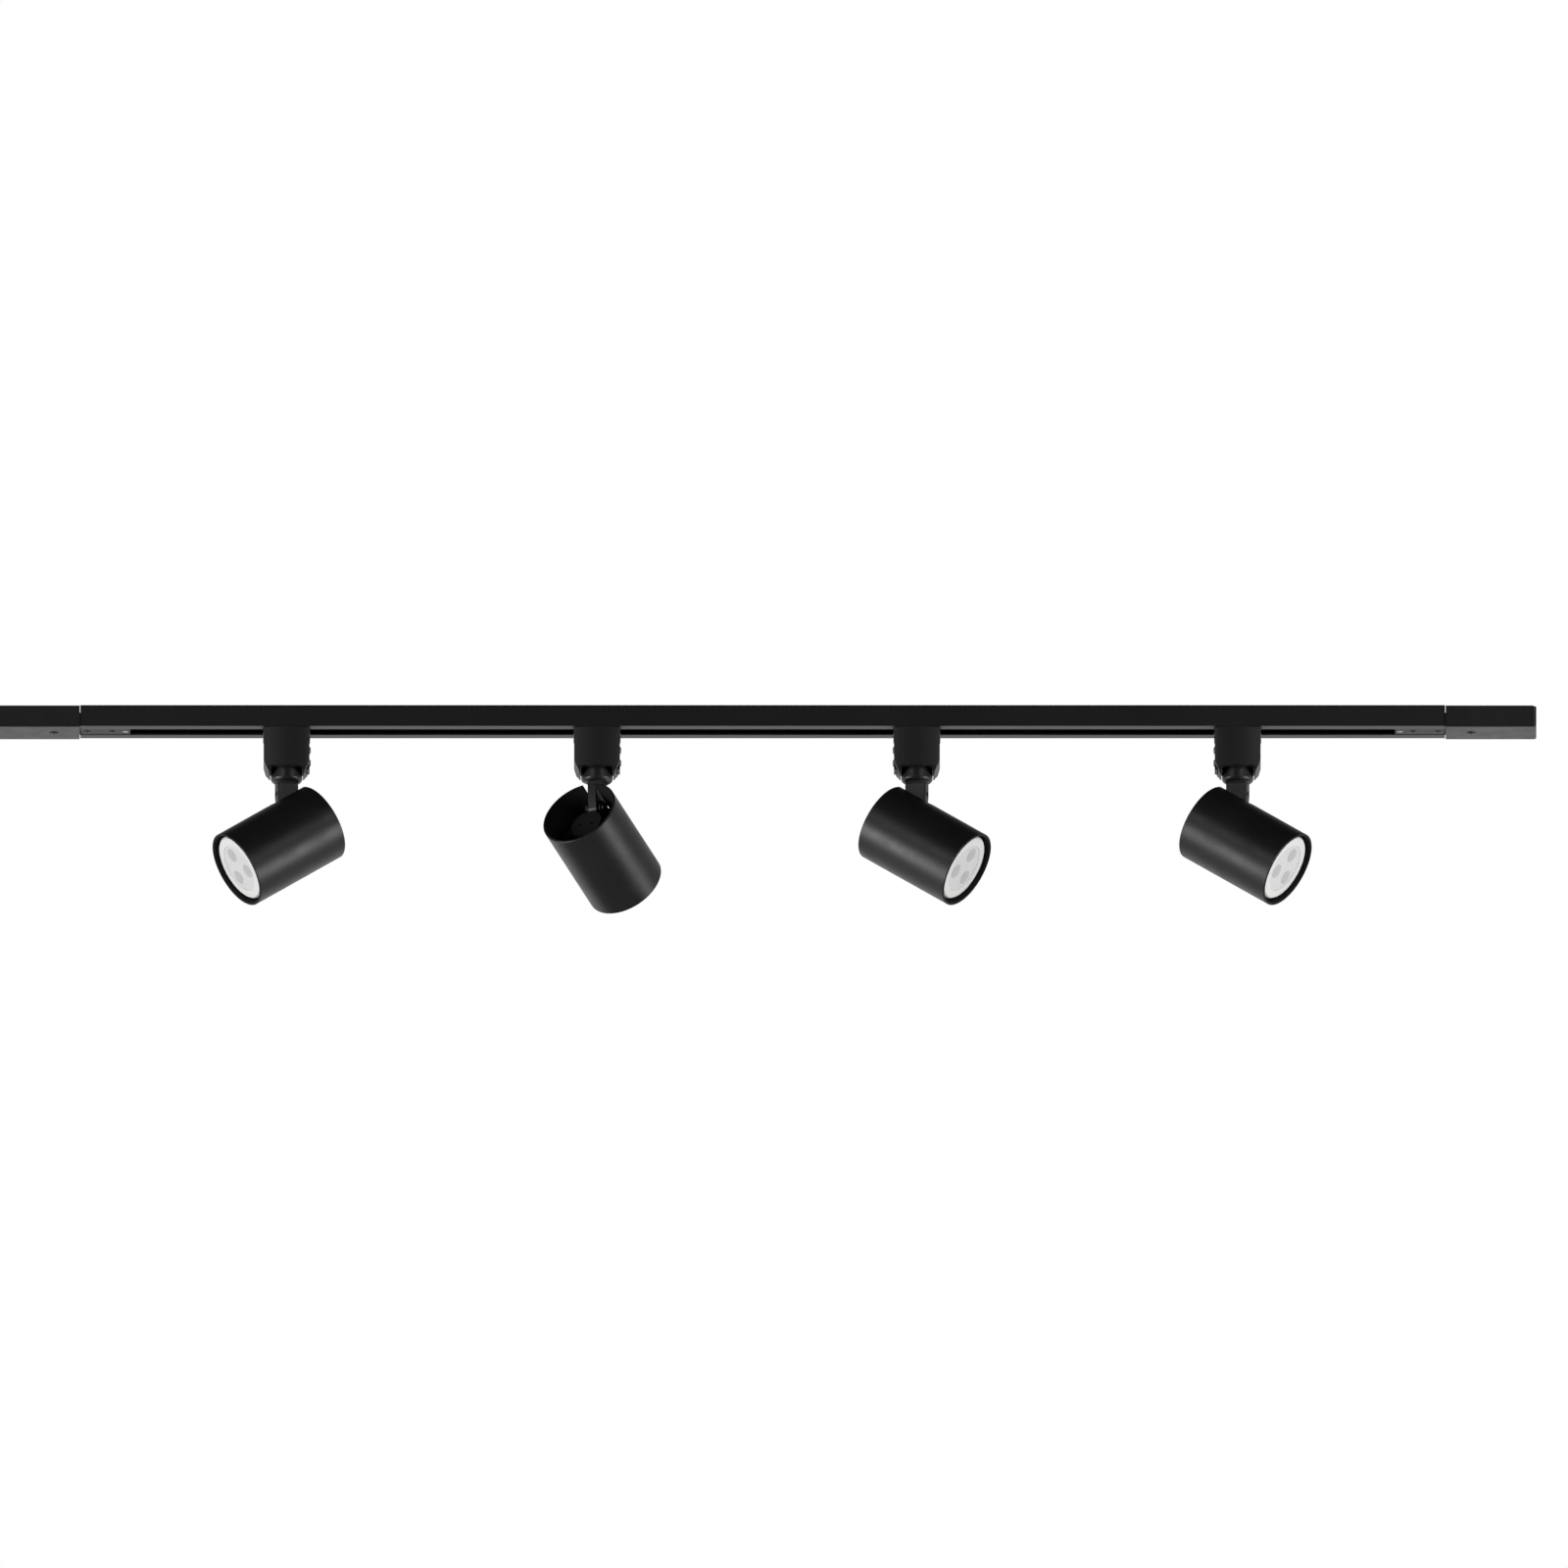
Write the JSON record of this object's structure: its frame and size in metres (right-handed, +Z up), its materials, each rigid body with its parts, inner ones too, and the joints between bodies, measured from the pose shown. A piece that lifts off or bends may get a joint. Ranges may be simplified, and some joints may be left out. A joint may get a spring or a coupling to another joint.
{
  "type": "track lighting fixture",
  "caption": "Surface-mounted lighting track with cylindrical spotlight heads that slide along it, swivel and tilt; covered wire feed at both ends.",
  "frame": {"origin": "centre of the track's flat face that lies on the ceiling", "axes": "+X along the track to the right as seen from the front, +Z up into the ceiling, -Y towards the front"},
  "size_m": [1.118, 0.0956, 0.1461],
  "materials": {
    "black_coat": "satin black powder coat",
    "black_track": "satin black coat on extruded aluminium",
    "black_plastic": "fine-textured black plastic",
    "dark_plastic": "black insulating plastic",
    "copper": "bare copper strip",
    "dark_screw": "blackened steel",
    "steel": "bright zinc plate",
    "socket_black": "black heat-proof plastic",
    "lamp_white": "satin white lamp housing",
    "lens": "frosted lens"
  },
  "bodies": {
    "track": {"track_channel": "black_track", "conductor_insulators": "dark_plastic", "live_conductors": "copper", "ground_strip": "copper", "feed_contacts": "copper", "right_end_cover": "black_coat", "left_end_cover": "black_coat", "right_end_base": "black_plastic", "left_end_base": "black_plastic", "cover_screws": "dark_screw", "tongue_screws": "dark_screw", "lock_screws": "steel"},
    "adapter_1": {"adapter_housing_1": "black_plastic", "contact_carrier_1": "dark_plastic", "contact_blades_1": "copper"},
    "tab_1": {"lock_tab_1": "black_plastic"},
    "swivel_1": {"swivel_collar_1": "black_coat", "swivel_arm_1": "black_coat"},
    "shade_1": {"pivot_screw_1": "dark_screw", "shade_tube_1": "black_coat", "socket_bracket_1": "black_coat", "lamp_socket_1": "socket_black", "lamp_body_1": "lamp_white", "lamp_lens_1": "lens"},
    "adapter_2": {"adapter_housing_2": "black_plastic", "contact_carrier_2": "dark_plastic", "contact_blades_2": "copper"},
    "tab_2": {"lock_tab_2": "black_plastic"},
    "swivel_2": {"swivel_collar_2": "black_coat", "swivel_arm_2": "black_coat"},
    "shade_2": {"pivot_screw_2": "dark_screw", "shade_tube_2": "black_coat", "socket_bracket_2": "black_coat", "lamp_socket_2": "socket_black", "lamp_body_2": "lamp_white", "lamp_lens_2": "lens"},
    "adapter_3": {"adapter_housing_3": "black_plastic", "contact_carrier_3": "dark_plastic", "contact_blades_3": "copper"},
    "tab_3": {"lock_tab_3": "black_plastic"},
    "swivel_3": {"swivel_collar_3": "black_coat", "swivel_arm_3": "black_coat"},
    "shade_3": {"pivot_screw_3": "dark_screw", "shade_tube_3": "black_coat", "socket_bracket_3": "black_coat", "lamp_socket_3": "socket_black", "lamp_body_3": "lamp_white", "lamp_lens_3": "lens"},
    "adapter_4": {"adapter_housing_4": "black_plastic", "contact_carrier_4": "dark_plastic", "contact_blades_4": "copper"},
    "tab_4": {"lock_tab_4": "black_plastic"},
    "swivel_4": {"swivel_collar_4": "black_coat", "swivel_arm_4": "black_coat"},
    "shade_4": {"pivot_screw_4": "dark_screw", "shade_tube_4": "black_coat", "socket_bracket_4": "black_coat", "lamp_socket_4": "socket_black", "lamp_body_4": "lamp_white", "lamp_lens_4": "lens"}
  },
  "joints": [
    {"name": "adapter_slide_1", "type": "slide", "parent": "track", "child": "adapter_1", "axis": [1, 0, 0], "range_m": [-0.045, 0.045]},
    {"name": "lock_tab_press_1", "type": "slide", "parent": "adapter_1", "child": "tab_1", "axis": [0, 0, -1], "range_m": [0, 0.003], "stiffness_N_per_m": 300, "springref_m": -0.003},
    {"name": "pan_1", "type": "hinge", "parent": "adapter_1", "child": "swivel_1", "pos_m": [-0.344, 0, -0.0726], "axis": [0, 0, 1], "range_deg": [-190, 150]},
    {"name": "tilt_1", "type": "hinge", "parent": "swivel_1", "child": "shade_1", "pos_m": [-0.344, 0, -0.0726], "axis": [-0.342, 0.9397, 0], "range_deg": [-56.5, 33.5]},
    {"name": "adapter_slide_2", "type": "slide", "parent": "track", "child": "adapter_2", "axis": [1, 0, 0], "range_m": [-0.045, 0.045]},
    {"name": "lock_tab_press_2", "type": "slide", "parent": "adapter_2", "child": "tab_2", "axis": [0, 0, -1], "range_m": [0, 0.003], "stiffness_N_per_m": 300, "springref_m": -0.003},
    {"name": "pan_2", "type": "hinge", "parent": "adapter_2", "child": "swivel_2", "pos_m": [-0.1197, 0, -0.0726], "axis": [0, 0, 1], "range_deg": [-50, 290]},
    {"name": "tilt_2", "type": "hinge", "parent": "swivel_2", "child": "shade_2", "pos_m": [-0.1197, 0, -0.0726], "axis": [0.866, -0.5, 0], "range_deg": [-59.5, 30.5]},
    {"name": "adapter_slide_3", "type": "slide", "parent": "track", "child": "adapter_3", "axis": [1, 0, 0], "range_m": [-0.045, 0.045]},
    {"name": "lock_tab_press_3", "type": "slide", "parent": "adapter_3", "child": "tab_3", "axis": [0, 0, -1], "range_m": [0, 0.003], "stiffness_N_per_m": 300, "springref_m": -0.003},
    {"name": "pan_3", "type": "hinge", "parent": "adapter_3", "child": "swivel_3", "pos_m": [0.1114, 0, -0.0726], "axis": [0, 0, 1], "range_deg": [-150, 190]},
    {"name": "tilt_3", "type": "hinge", "parent": "swivel_3", "child": "shade_3", "pos_m": [0.1114, 0, -0.0726], "axis": [-0.342, -0.9397, 0], "range_deg": [-56.5, 33.5]},
    {"name": "adapter_slide_4", "type": "slide", "parent": "track", "child": "adapter_4", "axis": [1, 0, 0], "range_m": [-0.045, 0.045]},
    {"name": "lock_tab_press_4", "type": "slide", "parent": "adapter_4", "child": "tab_4", "axis": [0, 0, -1], "range_m": [0, 0.003], "stiffness_N_per_m": 300, "springref_m": -0.003},
    {"name": "pan_4", "type": "hinge", "parent": "adapter_4", "child": "swivel_4", "pos_m": [0.3432, 0, -0.0726], "axis": [0, 0, 1], "range_deg": [-150, 190]},
    {"name": "tilt_4", "type": "hinge", "parent": "swivel_4", "child": "shade_4", "pos_m": [0.3432, 0, -0.0726], "axis": [-0.342, -0.9397, 0], "range_deg": [-56.5, 33.5]}
  ]
}
